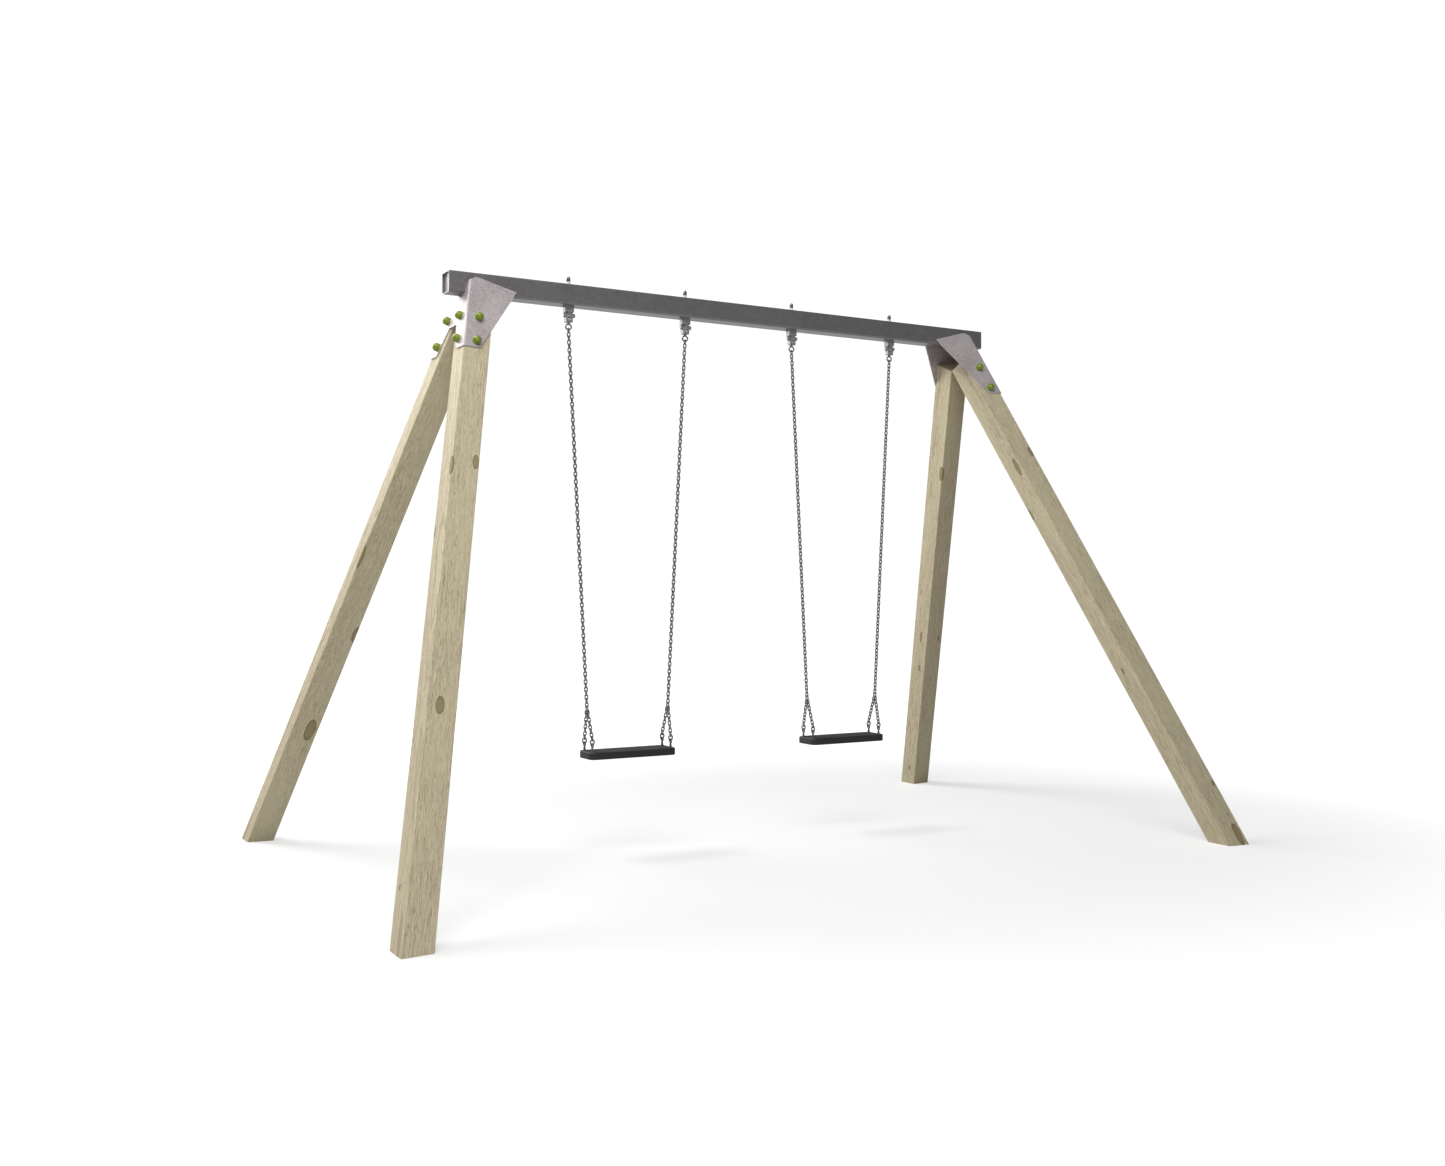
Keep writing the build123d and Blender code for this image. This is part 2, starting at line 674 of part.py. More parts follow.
def make_seat_nut():
    """Locking nut on the seat eye's shank, inside the pocket."""
    top = -insert_depth_in_seat - insert_thickness - seat_washer_thickness
    nut = hexagon(m12_across_flats, seat_nut_height, seat_shank_diameter / 2 + still_fit)
    return Pos(0, 0, top) * Rot(180, 0, 0) * nut


def at_eyes(piece, height=0.0):
    """A copy of a piece at each of the seat's four eyes."""
    return [Pos(x, y, height) * piece for x, y in eye_places]


# ---- writing the nodes ---------------------------------------------------------------
def write_frame():
    """Legs, brackets and beam, with everything that is screwed or bolted to them."""
    front, rear = make_leg(front_leg), make_leg(rear_leg)
    save("front_right_leg", [front])
    save("rear_right_leg", [rear])
    save("front_left_leg", turned([rear]))
    save("rear_left_leg", turned([front]))
    bracket = make_head_bracket()
    save("right_head_bracket", [bracket])
    save("left_head_bracket", turned([bracket]))
    end_plate = make_beam_end_plate()
    save("top_beam", [make_beam()])
    save("right_beam_end_plate", [end_plate])
    save("left_beam_end_plate", turned([end_plate]))
    washer = Pos(0, 0, washer_seat) * tube(
        screw_washer_diameter / 2, screw_diameter / 2 + still_fit, screw_washer_thickness)
    for name, piece in (("leg_coach_screws", make_coach_screw()), ("leg_screw_washers", washer),
                        ("bolt_cap_bases", make_cap_base()), ("bolt_caps", make_bolt_cap())):
        pieces = at_screws(piece)
        save(name, pieces + turned(pieces))


def write_hangers():
    """The parts of the four hangers that stay still with the beam."""
    block = make_hanger_block()
    for index, x in enumerate(hanger_xs):
        save(f"hanger_block_{index + 1}", at_hangers(block, [x]))
    for name, piece in (("hanger_bushes", make_bush()), ("hanger_studs", make_stud()),
                        ("hanger_stud_washers", make_stud_washer()),
                        ("hanger_stud_nuts", make_stud_nut()),
                        ("hanger_lock_rings", make_lock_ring()),
                        ("hanger_dome_nuts", make_dome_nut())):
        save(name, at_hangers(piece, hanger_xs))


def write_swing(bay, hangers, seat_x):
    """One swing: two clevises with their chains, the bridles and the seat."""
    clevis = make_clevis()
    for side, x in zip(("left", "right"), hangers):
        save(f"{bay}_swing_{side}_clevis", at_hangers(clevis, [x]))
    for name, piece in (("pivot_bolts", make_pivot_bolt()), ("pivot_washers", make_pivot_washers()),
                        ("pivot_nuts", make_pivot_nut()), ("clevis_eyes", make_clevis_eye()),
                        ("clevis_eye_nuts", make_clevis_eye_nut())):
        save(f"{bay}_swing_{name}", at_hangers(piece, hangers))

    frames = [chain_frame(x, seat_x) for x in hangers]
    main_chain, bridle, joining_link = make_main_chain(), make_bridle(), make_joining_link()
    for side, frame in zip(("left", "right"), frames):
        save(f"{bay}_swing_{side}_chain", [frame * link for link in main_chain])
        save(f"{bay}_swing_{side}_bridle", [frame * link for link in bridle])
    save(f"{bay}_swing_joining_links", [frame * joining_link for frame in frames])

    seat_place = Pos(seat_x, 0, seat_top_height)
    ring_height = ring_top_height - seat_top_height
    for name, pieces in (("seat", [make_seat()]), ("seat_insert", [make_insert()]),
                         ("seat_rings", at_eyes(make_seat_ring(), ring_height)),
                         ("seat_eyes", at_eyes(make_seat_eye())),
                         ("seat_washers", at_eyes(make_seat_washer())),
                         ("seat_nuts", at_eyes(make_seat_nut()))):
        save(f"{bay}_swing_{name}", [seat_place * piece for piece in pieces])


os.makedirs("parts", exist_ok=True)
write_frame()
write_hangers()
write_swing("left", hanger_xs[:2], seat_xs[0])
write_swing("right", hanger_xs[2:], seat_xs[1])
print(f"feet at x {foot_x:.1f} y {foot_y:.1f}, leg length {leg_length:.1f}")
print(f"seat top {seat_top_height:.1f}, ring top {ring_top_height:.1f}, pivot {pivot_height:.1f}")
tilt_height = eye_wire_height - joining_bow_drop * math.cos(chain_lean)
print(f"seat tilt axis {tilt_height:.2f}, lean {math.degrees(chain_lean):.2f}")
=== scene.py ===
import math

import bmesh
import bpy
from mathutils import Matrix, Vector


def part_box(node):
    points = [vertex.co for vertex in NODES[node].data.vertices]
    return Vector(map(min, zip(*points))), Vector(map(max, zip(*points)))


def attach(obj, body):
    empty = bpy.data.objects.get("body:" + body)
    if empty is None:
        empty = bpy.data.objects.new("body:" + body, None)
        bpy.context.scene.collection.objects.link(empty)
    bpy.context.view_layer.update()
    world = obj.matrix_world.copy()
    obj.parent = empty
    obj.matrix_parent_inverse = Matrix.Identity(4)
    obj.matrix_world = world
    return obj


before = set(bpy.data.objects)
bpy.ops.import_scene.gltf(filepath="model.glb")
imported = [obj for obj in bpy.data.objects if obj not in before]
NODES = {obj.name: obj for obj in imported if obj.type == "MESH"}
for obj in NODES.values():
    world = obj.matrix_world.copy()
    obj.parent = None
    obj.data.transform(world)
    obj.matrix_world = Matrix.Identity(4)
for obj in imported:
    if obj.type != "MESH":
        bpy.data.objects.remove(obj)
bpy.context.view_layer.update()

bl_info = {
    "name": "Timber Swing Set Finisher",
    "version": (1, 0, 0),
    "blender": (4, 5, 0),
    "location": "View3D > Sidebar > Swing Set",
    "description": "Finishes the timber, steel, chain and rubber of a two-seat swing set",
    "category": "Object",
}

LEGS = ("front_left_leg", "rear_left_leg", "front_right_leg", "rear_right_leg")
BRACKETS = ("left_head_bracket", "right_head_bracket")
BAYS = ("left", "right")
MOVING_HANGER_PARTS = ("left_clevis", "right_clevis", "pivot_bolts", "pivot_washers",
                       "pivot_nuts", "clevis_eye_nuts")
CHAIN_PARTS = ("left_chain", "right_chain", "left_bridle", "right_bridle",
               "joining_links", "clevis_eyes", "seat_rings", "seat_eyes")


# ---- settings ------------------------------------------------------------------------
class TimberSettings(bpy.types.PropertyGroup):
    """Planed softwood of the legs."""

    early_wood: bpy.props.FloatVectorProperty(
        name="Early wood", description="Colour of the pale bands", subtype="COLOR",
        size=3, min=0.0, max=1.0, default=(0.76, 0.66, 0.465))
    late_wood: bpy.props.FloatVectorProperty(
        name="Late wood", description="Colour of the dark bands", subtype="COLOR",
        size=3, min=0.0, max=1.0, default=(0.29, 0.245, 0.150))
    knot: bpy.props.FloatVectorProperty(
        name="Knot", description="Colour of the heart of a knot", subtype="COLOR",
        size=3, min=0.0, max=1.0, default=(0.235, 0.185, 0.085))
    ring_pitch: bpy.props.FloatProperty(
        name="Ring pitch", description="Distance between growth rings", unit="LENGTH",
        min=0.001, max=0.02, default=0.0052)
    splay: bpy.props.FloatProperty(
        name="Splay", description="Lean of an end frame towards the middle",
        subtype="ANGLE", default=math.radians(15.0))
    rake: bpy.props.FloatProperty(
        name="Rake", description="Lean of a leg in its end frame",
        subtype="ANGLE", default=math.radians(25.0))


class SteelSettings(bpy.types.PropertyGroup):
    """Galvanised beam, brackets, hangers and chain."""

    beam: bpy.props.FloatVectorProperty(
        name="Beam", description="Colour of the beam's zinc", subtype="COLOR",
        size=3, min=0.0, max=1.0, default=(0.205, 0.198, 0.201))
    bracket: bpy.props.FloatVectorProperty(
        name="Bracket", description="Colour of the bracket's zinc", subtype="COLOR",
        size=3, min=0.0, max=1.0, default=(0.53, 0.475, 0.483))
    hardware: bpy.props.FloatVectorProperty(
        name="Hardware", description="Colour of bolts, nuts and clevises", subtype="COLOR",
        size=3, min=0.0, max=1.0, default=(0.33, 0.33, 0.325))
    chain: bpy.props.FloatVectorProperty(
        name="Chain", description="Colour of the chain", subtype="COLOR",
        size=3, min=0.0, max=1.0, default=(0.19, 0.19, 0.19))
    weld_radius: bpy.props.FloatProperty(
        name="Weld radius", description="Half the width of a weld bead", unit="LENGTH",
        min=0.001, max=0.01, default=0.0032)


class PlasticSettings(bpy.types.PropertyGroup):
    """Screw caps and nylon parts."""

    cap: bpy.props.FloatVectorProperty(
        name="Cap", description="Colour of the domed screw caps", subtype="COLOR",
        size=3, min=0.0, max=1.0, default=(0.195, 0.272, 0.003))
    nylon: bpy.props.FloatVectorProperty(
        name="Nylon", description="Colour of the locking rings", subtype="COLOR",
        size=3, min=0.0, max=1.0, default=(0.86, 0.86, 0.84))


class SeatSettings(bpy.types.PropertyGroup):
    """Moulded rubber seats."""

    rubber: bpy.props.FloatVectorProperty(
        name="Rubber", description="Colour of the rubber", subtype="COLOR",
        size=3, min=0.0, max=1.0, default=(0.017, 0.0165, 0.016))
    stud_pitch: bpy.props.FloatProperty(
        name="Stud pitch", description="Spacing of the grip studs", unit="LENGTH",
        min=0.005, max=0.03, default=0.0105)
    stud_radius: bpy.props.FloatProperty(
        name="Stud radius", description="Radius of a grip stud", unit="LENGTH",
        min=0.001, max=0.01, default=0.0033)
    stud_height: bpy.props.FloatProperty(
        name="Stud height", description="How far a grip stud stands up", unit="LENGTH",
        min=0.0002, max=0.005, default=0.0012)
    margin: bpy.props.FloatProperty(
        name="Margin", description="Plain border round the grip studs", unit="LENGTH",
        min=0.005, max=0.05, default=0.017)


class StageSettings(bpy.types.PropertyGroup):
    """Floor, light and camera."""

    floor_tone: bpy.props.FloatProperty(
        name="Floor tone", description="Reflectance of the floor", min=0.0, max=1.0,
        default=0.44)
    floor_glow: bpy.props.FloatProperty(
        name="Floor glow", description="Light added so that the floor reads as white",
        min=0.0, max=2.0, default=0.49)
    fill: bpy.props.FloatProperty(
        name="Fill", description="Strength of the even light", min=0.0, max=5.0,
        default=0.10)
    backlight: bpy.props.FloatProperty(
        name="Backlight", description="Strength of the glow behind the object", min=0.0,
        max=5.0, default=0.45)
    key: bpy.props.FloatProperty(
        name="Key", description="Power of the softbox over the left shoulder", unit="POWER",
        min=0.0, default=380.0)
    rim: bpy.props.FloatProperty(
        name="Rim", description="Power of the softbox behind the object", unit="POWER",
        min=0.0, default=240.0)
    front: bpy.props.FloatProperty(
        name="Front", description="Power of the large softbox, front left", unit="POWER",
        min=0.0, default=560.0)
    camera_place: bpy.props.FloatVectorProperty(
        name="Camera", description="Where the camera stands", subtype="TRANSLATION",
        size=3, default=(-3.7604, -6.3315, 1.3371))
    camera_turn: bpy.props.FloatVectorProperty(
        name="Camera turn", description="Which way the camera looks", subtype="EULER",
        size=3, default=(math.radians(90.126), 0.0, math.radians(-30.02)))
    camera_lens: bpy.props.FloatProperty(
        name="Lens", description="Focal length in millimetres", min=10.0, max=200.0,
        default=35.0)


# ---- material building ---------------------------------------------------------------
class Recipe:
    """A node material under construction, with short calls for the nodes that it uses."""

    def __init__(self, name):
        self.material = bpy.data.materials.new(name)
        self.material.use_nodes = True
        self.nodes = self.material.node_tree.nodes
        self.links = self.material.node_tree.links
        self.shader = self.nodes["Principled BSDF"]

    def add(self, kind, **inputs):
        """Add a node and feed its inputs, each a value or another node's output."""
        node = self.nodes.new(kind)
        for key, value in inputs.items():
            self.feed(node.inputs[key.replace("_", " ")], value)
        return node

    def feed(self, socket, value):
        if isinstance(value, bpy.types.NodeSocket):
            self.links.new(value, socket)
        else:
            socket.default_value = value

    def math(self, operation, first, second=0.0, clamp=False):
        node = self.nodes.new("ShaderNodeMath")
        node.operation = operation
        node.use_clamp = clamp
        self.feed(node.inputs[0], first)
        self.feed(node.inputs[1], second)
        return node.outputs[0]

    def vector(self, operation, first, second=(0.0, 0.0, 0.0)):
        node = self.nodes.new("ShaderNodeVectorMath")
        node.operation = operation
        self.feed(node.inputs[0], first)
        self.feed(node.inputs[1], second)
        return node.outputs["Value" if operation in {"DOT_PRODUCT", "LENGTH"} else "Vector"]

    def place(self):
        """Position on the object, in metres."""
        return self.nodes.new("ShaderNodeTexCoord").outputs["Object"]

    def noise(self, vector, scale, detail=3.0, roughness=0.5):
        return self.add("ShaderNodeTexNoise", Vector=vector, Scale=scale, Detail=detail,
                        Roughness=roughness).outputs[0]

    def ramp(self, value, low, high, smooth=True):
        """Map a value from low..high to 0..1, clamped."""
        node = self.nodes.new("ShaderNodeMapRange")
        node.interpolation_type = "SMOOTHSTEP" if smooth else "LINEAR"
        self.feed(node.inputs["Value"], value)
        node.inputs["From Min"].default_value = low
        node.inputs["From Max"].default_value = high
        return node.outputs["Result"]

    def span(self, value, low, high):
        """Stretch a 0..1 value to low..high."""
        node = self.nodes.new("ShaderNodeMapRange")
        self.feed(node.inputs["Value"], value)
        node.inputs["To Min"].default_value = low
        node.inputs["To Max"].default_value = high
        return node.outputs["Result"]

    def mix(self, factor, first, second):
        """Blend two colours."""
        node = self.nodes.new("ShaderNodeMix")
        node.data_type = "RGBA"
        self.feed(node.inputs[0], factor)
        for socket, value in ((node.inputs[6], first), (node.inputs[7], second)):
            if not isinstance(value, bpy.types.NodeSocket):
                value = (*tuple(value)[:3], 1.0)
            self.feed(socket, value)
        return node.outputs[2]

    def bump(self, height, distance, strength=1.0):
        node = self.add("ShaderNodeBump", Height=height, Distance=distance, Strength=strength)
        self.links.new(node.outputs["Normal"], self.shader.inputs["Normal"])

    def finish(self, colour, roughness, metallic=0.0, **fixed):
        self.feed(self.shader.inputs["Base Color"], colour)
        self.feed(self.shader.inputs["Roughness"], roughness)
        self.shader.inputs["Metallic"].default_value = metallic
        for key, value in fixed.items():
            self.shader.inputs[key.replace("_", " ")].default_value = value
        return self.material


def shaded(colour, factor):
    """A colour made darker or lighter by a factor."""
    return tuple(min(1.0, channel * factor) for channel in tuple(colour)[:3])


def dress(names, material):
    """Give carried-over nodes one material."""
    for name in names:
        mesh = NODES[name].data
        mesh.materials.clear()
        mesh.materials.append(material)


def add_piece(name, mesh_builder, material, body, smooth=True):
    """A new mesh piece made with bmesh, which rides on a body."""
    mesh = bpy.data.meshes.new(name)
    shape = bmesh.new()
    mesh_builder(shape)
    bmesh.ops.recalc_face_normals(shape, faces=shape.faces)
    shape.to_mesh(mesh)
    shape.free()
    for face in mesh.polygons:
        face.use_smooth = smooth
    mesh.materials.append(material)
    piece = bpy.data.objects.new(name, mesh)
    bpy.context.scene.collection.objects.link(piece)
    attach(piece, body)
    return piece


# ---- timber --------------------------------------------------------------------------
class LegAxes:
    """Corner on the ground and directions of one leg: in from its end face, in from its
    outer face, and up along it."""

    def __init__(self, name, timber):
        low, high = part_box(name)
        self.side = -1 if "left" in name else 1
        facing = -1 if name.startswith("front") else 1
        splay, rake = timber.splay, timber.rake
        self.corner = Vector((high.x if self.side > 0 else low.x,
                              high.y if facing > 0 else low.y, 0.0))
        self.outward = Vector((self.side * math.cos(splay), 0.0, math.sin(splay)))
        slope = Vector((-self.side * math.sin(splay), 0.0, math.cos(splay)))
        across = Vector((0.0, facing, 0.0))
        self.up = slope * math.cos(rake) - across * math.sin(rake)
        self.face = across * math.cos(rake) + slope * math.sin(rake)

    def point(self, along, from_end_face, from_outer_face):
        return (self.corner + self.up * along - self.outward * from_end_face
                - self.face * from_outer_face)


# Knots of each leg: (distance up the leg, in from the end face, in from the outer face,
# half width, half length), in metres. A knot at 0 on one of the two breaks that face.
KNOTS = {
    "front_left_leg": ((1.007, 0.054, 0.0, 0.018, 0.038), (2.179, 0.110, 0.0, 0.015, 0.036),
                       (2.127, 0.0, 0.004, 0.013, 0.048), (1.845, 0.0, 0.114, 0.010, 0.024),
                       (0.287, 0.0, 0.086, 0.007, 0.013), (1.45, 0.127, 0.06, 0.015, 0.034),
                       (0.70, 0.07, 0.127, 0.018, 0.04)),
    "rear_left_leg": ((0.770, 0.087, 0.127, 0.024, 0.062), (1.343, 0.123, 0.127, 0.018, 0.044),
                      (1.751, 0.0, 0.122, 0.014, 0.066), (1.98, 0.0, 0.10, 0.009, 0.020),
                      (2.35, 0.06, 0.0, 0.016, 0.035), (1.20, 0.05, 0.0, 0.018, 0.04)),
    "front_right_leg": ((2.391, 0.014, 0.0, 0.015, 0.030), (2.338, 0.127, 0.034, 0.016, 0.055),
                        (2.071, 0.127, 0.118, 0.012, 0.032), (1.078, 0.127, 0.071, 0.009, 0.018),
                        (0.355, 0.016, 0.0, 0.009, 0.017), (0.068, 0.036, 0.0, 0.020, 0.062),
                        (1.55, 0.0, 0.07, 0.018, 0.04)),
    "rear_right_leg": ((1.225, 0.127, 0.069, 0.011, 0.036), (0.995, 0.127, 0.077, 0.010, 0.022),
                       (2.384, 0.127, 0.118, 0.017, 0.045), (0.200, 0.127, 0.07, 0.009, 0.018),
                       (1.212, 0.03, 0.127, 0.009, 0.018), (2.20, 0.0, 0.06, 0.018, 0.04),
                       (1.10, 0.06, 0.0, 0.018, 0.04)),
}


def timber_material(name, timber):
    """Softwood sawn from one side of a log: rings round a far pith, fibres and knots."""
    axes = LegAxes(name, timber)
    recipe = Recipe(f"timber_{name}")
    offset = recipe.vector("SUBTRACT", recipe.place(), axes.corner)
    parts = [recipe.vector("DOT_PRODUCT", offset, direction)
             for direction in (-axes.outward, -axes.face, axes.up)]
    local = recipe.add("ShaderNodeCombineXYZ", X=parts[0], Y=parts[1], Z=parts[2]).outputs[0]

    nearest = None
    for along, end_in, face_in, half_width, half_length in KNOTS[name]:
        radii = Vector((1 / half_width, 1 / half_width, 1 / half_length))
        away = recipe.vector("SUBTRACT", local, (end_in, face_in, along))
        distance = recipe.vector("LENGTH", recipe.vector("MULTIPLY", away, radii))
        nearest = distance if nearest is None else recipe.math("MINIMUM", nearest, distance)
    ragged = recipe.noise(local, 60.0, 2.0)
    nearest = recipe.math("ADD", nearest, recipe.math("MULTIPLY", ragged, 0.25))
    pull = recipe.math("EXPONENT", recipe.math("MULTIPLY", nearest, -0.9))

    drift = recipe.noise(recipe.vector("MULTIPLY", local, (2.2, 2.2, 0.55)), 1.6, 2.0)
    pith = (0.19, 0.030, 0.0)
    section = recipe.vector("MULTIPLY", recipe.vector("SUBTRACT", local, pith), (1, 1, 0))
    radius = recipe.vector("LENGTH", section)
    radius = recipe.math("ADD", radius, recipe.math("MULTIPLY", drift, 0.06))
    radius = recipe.math("ADD", radius, recipe.math("MULTIPLY", pull, 0.020))
    rings = recipe.math("DIVIDE", radius, timber.ring_pitch)
    turned = recipe.math("SINE", recipe.math("MULTIPLY", rings, math.tau))
    ring_band = recipe.ramp(turned, 0.15, 1.0)
    ring_place = recipe.add("ShaderNodeCombineXYZ", X=recipe.math("MULTIPLY", rings, 0.55),
                            Z=recipe.math("MULTIPLY", parts[2], 0.4)).outputs[0]
    uneven = recipe.noise(ring_place, 1.0, 3.0, 0.6)
    fibre = recipe.noise(recipe.vector("MULTIPLY", local, (1.0, 1.0, 0.028)), 300.0, 4.0, 0.75)
    fleck = recipe.noise(recipe.vector("MULTIPLY", local, (1.0, 1.0, 0.10)), 300.0, 3.0, 0.7)
    band = recipe.math("MULTIPLY", ring_band, recipe.span(uneven, -0.25, 1.25), clamp=True)
    band = recipe.math("MULTIPLY", band, 0.55)
    band = recipe.math("ADD", band, recipe.math("MULTIPLY", recipe.ramp(fibre, 0.40, 0.62), 0.48))
    band = recipe.math("ADD", band, recipe.math("MULTIPLY", recipe.ramp(fleck, 0.50, 0.62), 0.45),
                       clamp=True)

    colour = recipe.mix(band, timber.early_wood, timber.late_wood)
    stain = recipe.noise(recipe.vector("MULTIPLY", local, (5.0, 5.0, 0.9)), 1.4, 3.0)
    greenish = (timber.early_wood[0] * 0.86, timber.early_wood[1] * 0.90,
                timber.early_wood[2] * 0.84)
    colour = recipe.mix(recipe.math("MULTIPLY", recipe.ramp(stain, 0.40, 0.72), 0.55),
                        colour, greenish)
    heart = recipe.math("SUBTRACT", 1.0, recipe.ramp(nearest, 0.92, 1.08))
    knot_rings = recipe.math("SINE", recipe.math("MULTIPLY", nearest, 26.0))
    knot_colour = recipe.mix(recipe.ramp(knot_rings, -0.6, 1.0), shaded(timber.knot, 1.45),
                             timber.knot)
    colour = recipe.mix(recipe.math("MULTIPLY", heart, 0.85), colour, knot_colour)
    rim = recipe.math("MULTIPLY", recipe.ramp(nearest, 0.88, 1.02),
                      recipe.math("SUBTRACT", 1.0, recipe.ramp(nearest, 1.04, 1.25)))
    colour = recipe.mix(recipe.math("MULTIPLY", rim, 0.75), colour, shaded(timber.knot, 0.45))
    check_place = recipe.vector("MULTIPLY", local, (1.0, 1.0, 0.030))
    check = recipe.math("ABSOLUTE", recipe.math("SUBTRACT", recipe.noise(check_place, 34.0, 2.0), 0.5))
    sparse = recipe.ramp(recipe.noise(local, 2.3, 1.0), 0.52, 0.62)
    crack = recipe.math("MULTIPLY", sparse,
                        recipe.math("SUBTRACT", 1.0, recipe.ramp(check, 0.0015, 0.006)))
    colour = recipe.mix(recipe.math("MULTIPLY", crack, 0.5), colour, shaded(timber.late_wood, 0.4))
    height = recipe.math("ADD", recipe.math("MULTIPLY", fibre, 0.5),
                         recipe.math("MULTIPLY", band, 0.35))
    height = recipe.math("SUBTRACT", height, recipe.math("MULTIPLY", crack, 1.2))
    recipe.bump(height, 0.0014, 0.8)
    roughness = recipe.span(recipe.math("ADD", band, recipe.math("MULTIPLY", fibre, 0.3)), 0.80, 0.66)
    return recipe.finish(colour, roughness, 0.0, Specular_IOR_Level=0.25)


# ---- steel, plastic and rubber -------------------------------------------------------
def zinc_material(name, colour, metallic=0.55, rough=(0.36, 0.52), grain=1.0, speckle=0.10):
    """Galvanised steel: crystals of zinc, a cloudy mottling and a fine frosted grain."""
    recipe = Recipe(name)
    place = recipe.place()
    crystals = recipe.add("ShaderNodeTexVoronoi", Vector=place, Scale=95.0 * grain)
    crystal = recipe.add("ShaderNodeSeparateColor", Color=crystals.outputs["Color"]).outputs[0]
    cloud = recipe.noise(place, 9.0, 4.0)
    frost = recipe.noise(place, 420.0 * grain, 3.0, 0.7)
    tone = recipe.math("ADD", recipe.math("MULTIPLY", crystal, 0.28),
                       recipe.math("MULTIPLY", cloud, 0.4))
    tone = recipe.math("ADD", tone, recipe.math("MULTIPLY", frost, 0.25 + speckle))
    base = recipe.mix(recipe.ramp(tone, 0.25, 0.80), shaded(colour, 1.0 - 0.9 * speckle - 0.06),
                      shaded(colour, 1.06 + speckle))
    drip = recipe.ramp(recipe.noise(recipe.vector("MULTIPLY", place, (1.0, 1.0, 0.25)), 14.0, 5.0),
                       0.58, 0.78)
    base = recipe.mix(recipe.math("MULTIPLY", drip, 0.22), base, shaded(colour, 0.72))
    recipe.bump(recipe.math("ADD", frost, recipe.math("MULTIPLY", crystal, 0.3)), 0.00025, 0.5)
    return recipe.finish(base, recipe.span(tone, *rough), metallic)


def cap_material(plastic):
    """Glossy moulded plastic with a faint mottling and dust in its texture."""
    recipe = Recipe("lime_cap_plastic")
    place = recipe.place()
    mottle = recipe.noise(place, 160.0, 3.0)
    fine = recipe.noise(place, 900.0, 2.0)
    colour = recipe.mix(recipe.ramp(mottle, 0.35, 0.7), shaded(plastic.cap, 0.88),
                        shaded(plastic.cap, 1.10))
    recipe.bump(fine, 0.0001, 0.4)
    return recipe.finish(colour, recipe.span(mottle, 0.30, 0.42), 0.0, Coat_Weight=0.15,
                         Coat_Roughness=0.2)


def plain_moulding(name, colour, rough=(0.42, 0.56)):
    """Unpolished moulded plastic or bearing metal with a fine grain."""
    recipe = Recipe(name)
    grain = recipe.noise(recipe.place(), 500.0, 3.0)
    recipe.bump(grain, 0.00015, 0.5)
    return recipe.finish(recipe.mix(grain, shaded(colour, 0.86), shaded(colour, 1.08)),
                         recipe.span(grain, *rough), 0.0)


def rubber_material(seat):
    """Moulded black rubber: a pebbled grain, with a painted sheen that greys the faces pointing up, in
    cloudy patches, in place of the light from above.
    """
    recipe = Recipe("seat_rubber")
    place = recipe.place()
    pebble = recipe.add("ShaderNodeTexVoronoi", Vector=place, Scale=420.0).outputs["Distance"]
    cloud = recipe.noise(place, 17.0, 4.0)
    fine = recipe.noise(place, 700.0, 3.0, 0.7)
    facing_up = recipe.add("ShaderNodeSeparateXYZ",
                           Vector=recipe.nodes.new("ShaderNodeNewGeometry").outputs["Normal"])
    # Painted sheen: faces that point up are greyed in cloudy patches, standing in for light falling from
    # above.
    painted_top_sheen = recipe.math("MULTIPLY", recipe.ramp(facing_up.outputs["Z"], 0.35, 0.95),
                       recipe.span(cloud, 0.35, 1.0))
    colour = recipe.mix(recipe.math("MULTIPLY", fine, 0.6), shaded(seat.rubber, 0.75),
                        shaded(seat.rubber, 1.35))
    # The painted sheen mixes the upward faces towards this lighter grey.
    colour = recipe.mix(recipe.math("MULTIPLY", painted_top_sheen, 0.60), colour, (0.060, 0.057, 0.054))
    recipe.bump(recipe.math("SUBTRACT", recipe.math("MULTIPLY", fine, 0.5), pebble), 0.0005, 0.6)
    return recipe.finish(colour, recipe.span(cloud, 0.50, 0.68), 0.0, Specular_IOR_Level=0.45)


# ---- mesh parts ----------------------------------------------------------------------
def weld_bead(shape, start, end, radius):
    """A rippled bead of weld from start to end."""
    along = end - start
    length = along.length
    direction = along.normalized()
    side = direction.orthogonal().normalized()
    other = direction.cross(side)
    ripple = radius * 1.1
    steps = max(6, int(length / ripple * 3))
    around = 10
    rings = []
    for step in range(steps + 1):
        share = step / steps
        swell = radius * (0.86 + 0.14 * abs(math.sin(math.pi * share * length / ripple)))
        if step in (0, steps):
            swell *= 0.45
        centre = start + along * share
        rings.append([shape.verts.new(centre + (side * math.cos(turn) + other * math.sin(turn)) * swell)
                      for turn in (math.tau * index / around for index in range(around))])
    for near, far in zip(rings, rings[1:]):
        for index in range(around):
            following = (index + 1) % around
            shape.faces.new((near[index], near[following], far[following], far[index]))
    shape.faces.new(list(reversed(rings[0])))
    shape.faces.new(rings[-1])


def dome_stud(shape, centre, radius, height):
    """A low rounded stud that stands on a level surface."""
    around = 10
    levels = ((1.0, -0.25), (0.96, 0.35), (0.70, 0.80), (0.35, 0.98))
    rings = []
    for share, lift in levels:
        rings.append([shape.verts.new(centre + Vector((math.cos(turn) * radius * share,
                                                       math.sin(turn) * radius * share,
                                                       lift * height)))
                      for turn in (math.tau * index / around for index in range(around))])
    for low, high in zip(rings, rings[1:]):
        for index in range(around):
            following = (index + 1) % around
            shape.faces.new((low[index], low[following], high[following], high[index]))
    shape.faces.new(rings[-1])
    shape.faces.new(list(reversed(rings[0])))


